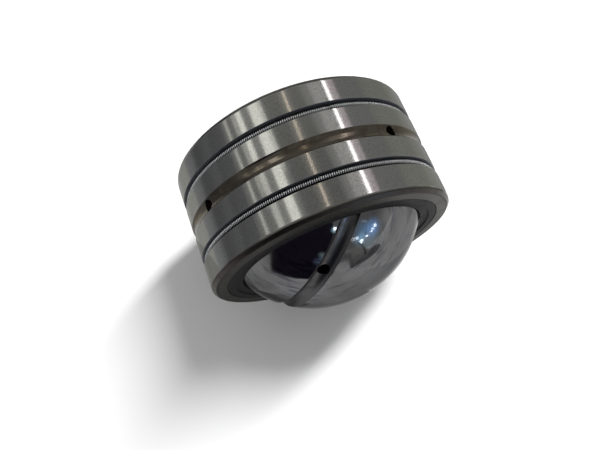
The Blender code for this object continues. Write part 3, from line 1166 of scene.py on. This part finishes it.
def glow(name, azimuth, elevation, spread, brightness, colour, distance=1.9):
    """A round light that fades out from its middle to this angle across."""
    middle = from_front(azimuth, elevation) * distance
    radius = across(distance, spread) / 2
    paint, tree, output = bare_paint(name)
    where = add(tree, "ShaderNodeTexCoord")
    off = add(tree, "ShaderNodeVectorMath", {1: middle}, operation="DISTANCE")
    fall = add(
        tree, "ShaderNodeMapRange", {"From Min": radius, "From Max": 0.0, "To Max": brightness},
        interpolation_type="SMOOTHSTEP",
    )
    light = add(tree, "ShaderNodeEmission", {"Color": (*colour, 1.0)})
    clear = add(tree, "ShaderNodeBsdfTransparent")
    both = add(tree, "ShaderNodeAddShader")
    join(
        tree, (where, "Object", off, 0), (off, "Value", fall, "Value"),
        (fall, "Result", light, "Strength"), (light, "Emission", both, 0),
        (clear, "BSDF", both, 1), (both, "Shader", output, "Surface"),
    )
    facing = middle.to_track_quat("Z", "Y").to_matrix()
    corners = [middle + facing @ Vector((radius * x, radius * y, 0.0)) for x, y in SQUARE]
    reflected_card(name, corners, paint)


for numbers in (
    ("glow_blue", 39.0, 12.5, 23.0, 2.6, (0.17, 0.46, 1.0)),
    ("glow_blue_left", 25.5, 13.5, 16.0, 2.4, (0.28, 0.62, 1.0)),
    ("glow_teal", 31.0, 20.0, 22.0, 0.9, (0.12, 0.5, 1.0)),
    ("glow_low", 30.0, 3.0, 34.0, 0.9, (0.62, 0.85, 1.0)),
    ("glow_corner", 4.0, 36.5, 8.0, 3.0, (0.52, 0.84, 1.0), 0.6),
    ("glow_dim", -10.0, 13.0, 12.0, 1.0, (0.40, 0.70, 1.0), 0.38),
    ("glow_dim_high", -12.3, 17.3, 9.0, 0.5, (0.75, 0.95, 0.95), 0.38),
    ("glow_dim_low", -15.3, 9.7, 12.0, 0.5, (0.50, 0.66, 1.0), 0.38),
    ("glow_pale", 56.0, 0.0, 40.0, 0.6, (1.0, 1.0, 0.97)),
):
    glow(*numbers)
    print("glow:", numbers[0])

# %% [markdown]
# ## Cards round the bearing
# Bright metal looks like metal only when it has dark things to reflect, so a photographer stands
# cards round it. A dark one in front to the left fills the ball's upper half. Tall ones at both
# sides grade the flanks of the ring. They stand on the floor outside the picture, and the camera
# doesn't see them. Each card glows at a brightness that is set directly. This is painted light that
# stands for how the studio would light the card, and the cards light nothing and cast no shadow.

# %% Glow for the cards
def graded_glow(name, tint, shades, axis):
    """A glow of exact brightness, painted light in place of a lit paint: shades are (place,
    brightness) pairs along an axis.
    """
    paint, tree, output = bare_paint(name)
    lowest, highest = shades[0][0], shades[-1][0]
    where = add(tree, "ShaderNodeTexCoord")
    parts = add(tree, "ShaderNodeSeparateXYZ")
    share = add(tree, "ShaderNodeMapRange", {"From Min": lowest, "From Max": highest})
    ramp = add(tree, "ShaderNodeValToRGB")
    light = add(tree, "ShaderNodeEmission")
    stops = ramp.color_ramp.elements
    for place, _ in shades[1:-1]:
        stops.new((place - lowest) / (highest - lowest))
    for stop, (_, brightness) in zip(stops, shades):
        stop.color = (*(brightness * part for part in tint), 1.0)
    join(
        tree, (where, "Object", parts, "Vector"), (parts, axis, share, "Value"),
        (share, "Result", ramp, "Fac"), (ramp, "Color", light, "Color"),
        (light, "Emission", output, "Surface"),
    )
    return paint


def painted_card(name, corners, tint, shades, axis="Z"):
    """A card that glows in a graded brightness of its own."""
    reflected_card(name, corners, graded_glow(name + "_paint", tint, tuple(shades), axis))
    print("card:", name)


# %% Standing cards
def upright(x, near, end, low, high):
    """Corners of a card that stands beside the ring, along its axis."""
    return [(x, near, low), (x, end, low), (x, end, high), (x, near, high)]


painted_card("card_front_left", [
    (-0.270, -0.219, FLOOR_LEVEL), (-0.045, -0.478, FLOOR_LEVEL),
    (0.070, -0.530, 0.62), (-0.300, -0.185, 0.42), (-0.284, -0.203, 0.05),
], (1.0, 0.78, 1.4), ((-0.1, 0.036), (0.7, 0.036)))
painted_card("card_left", upright(-0.235, -0.11, 0.50, FLOOR_LEVEL, 0.165), (0.98, 0.99, 1.06), (
    (-0.0752, 0.69), (-0.060, 0.64), (-0.044, 0.57), (-0.020, 0.45), (0.005, 0.23),
    (0.03, 0.22), (0.076, 0.285), (0.099, 0.225), (0.124, 0.25), (0.165, 0.27),
))
for name, near, end, low, high in (
    ("card_right", 0.0, 0.36, FLOOR_LEVEL, 0.11), ("card_right_near", -0.12, 0.0, -0.006, 0.075),
):
    painted_card(name, upright(0.25, near, end, low, high), (1.0, 1.01, 0.93), (
        (-0.0752, 1.08), (-0.054, 1.0), (-0.026, 0.76), (0.0, 0.65), (0.022, 0.60),
        (0.05, 0.57), (0.11, 0.48),
    ))

# %% Table cards with painted light and shadow
# These sheets lie on the floor, and only the steel's reflections see them. Their brightness is
# painted light and painted shadow of the table: mostly dimmer close to the ring, darkest under the
# ball where shadow falls, and brighter than the floor elsewhere, as if more lit.
TABLE_LEVEL = FLOOR_LEVEL + 0.0002
LEFT_PLACES = (-0.235, -0.20, -0.16, -0.12, -0.10, -0.086, -0.078)
PALE, PLAIN = (1.0, 0.995, 0.99), (1.0, 1.0, 1.0)
for name, left, right, near, end, axis, tint, shades in (
    ("table_right", 0.078, 0.25, 0.0, 0.5, "X", (1.0, 1.0, 0.98), (
        (0.078, 0.25), (0.118, 0.29), (0.133, 0.37), (0.150, 0.62), (0.172, 1.08),
        (0.20, 1.2), (0.237, 1.1), (0.25, 1.05),
    )),
    ("table_left_far", -0.235, -0.078, 0.03, 0.6, "X", (1.0, 1.0, 0.97),
     zip(LEFT_PLACES, (0.98, 1.10, 1.32, 1.34, 0.84, 0.46, 0.42))),
    ("table_left_near", -0.235, -0.078, -0.055, 0.03, "X", (1.0, 1.0, 0.97),
     zip(LEFT_PLACES, (0.585, 0.72, 0.88, 0.85, 0.58, 0.33, 0.31))),
    ("table_left_front", -0.15, -0.085, -0.115, -0.055, "X", (1.0, 1.0, 0.99),
     ((-0.15, 0.92), (-0.12, 1.0), (-0.085, 1.08))),
    ("table_front_right", 0.20, 0.7, -0.36, -0.002, "Y", PALE, (
        (-0.36, 1.05), (-0.26, 1.25), (-0.18, 1.42), (-0.12, 1.45), (-0.08, 1.15), (0.0, 0.95),
    )),
    ("table_rim", 0.10, 0.20, -0.36, -0.002, "Y", PALE, (
        (-0.36, 1.05), (-0.26, 1.25), (-0.18, 1.42), (-0.12, 1.45), (-0.08, 1.7), (0.0, 1.75),
    )),
    ("table_front_low", -0.042, 0.10, -0.22, -0.095, "Y", PLAIN,
     ((-0.22, 1.0), (-0.18, 1.12), (-0.095, 1.15))),
    ("table_contact_shadow", -0.035, 0.03, -0.095, -0.066, "Y", PLAIN,
     ((-0.095, 0.85), (-0.086, 0.7), (-0.077, 0.5), (-0.066, 0.48))),
):
    corners = [(left, near), (right, near), (right, end), (left, end)]
    painted_card(name, [(x, y, TABLE_LEVEL) for x, y in corners], tint, shades, axis)

# %% A box in front
for name, distance, corners, tint, shades in (
    ("box_front", 0.5, (
        (9.0, -7.5), (14.4, -9.8), (22.1, -10.2), (29.6, -9.0), (35.2, -7.3), (37.2, -5.6),
        (36.2, -3.2), (33.4, -1.0), (26.0, 0.5), (18.8, 1.6), (8.6, 2.8),
    ), (1.0, 1.0, 1.03), ((-0.09, 0.24), (-0.05, 0.30), (-0.01, 0.43), (0.03, 0.50))),
    ("box_lid", 0.5, (
        (8.6, 2.8), (18.8, 1.6), (26.0, 0.5), (27.0, 1.6), (23.0, 5.0), (19.4, 10.8),
        (14.5, 12.6), (8.6, 12.6),
    ), (1.0, 0.98, 0.95), ((0.0, 0.56), (0.12, 0.66))),
    ("box_handle", 0.47, (
        (22.1, -1.6), (22.9, 4.0), (22.1, 9.6), (20.0, 14.4), (21.2, 15.2), (23.7, 9.9),
        (24.4, 4.0), (23.8, -1.6),
    ), PLAIN, ((-0.01, 0.10), (0.13, 0.16))),
    ("box_left_edge", 0.47, (
        (9.4, -8.0), (11.4, -9.0), (11.7, 0.0), (11.5, 9.5), (9.6, 9.5),
    ), PLAIN, ((-0.09, 0.24), (0.08, 0.36))),
):
    painted_card(name, [from_front(*corner) * distance for corner in corners], tint, shades)

# %% A dimmer patch overhead
OVERHEAD = 1.35
left_x, right_x = (OVERHEAD * math.tan(strip_angle(a)) for a in (-12.4, 4.6))
corners = [(left_x, -0.2), (right_x, -0.2), (right_x, 1.2), (left_x, 1.2)]
painted_card(
    "card_overhead", [(x, y, OVERHEAD) for x, y in corners], (1.0, 1.0, 0.98),
    ((0.40, 0.31), (0.62, 0.33), (0.85, 0.42)), "Y",
)

# %% [markdown]
# ## Compare the boxes
# The finer pieces must fill the same space as the CAD model, so both boxes are printed.

# %% Sizes
low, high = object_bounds()
for label, a, b in (("CAD", cad_low, cad_high), ("scene", low, high)):
    print(label, "box in mm:", [round((b[i] - a[i]) * 1000, 2) for i in range(3)])
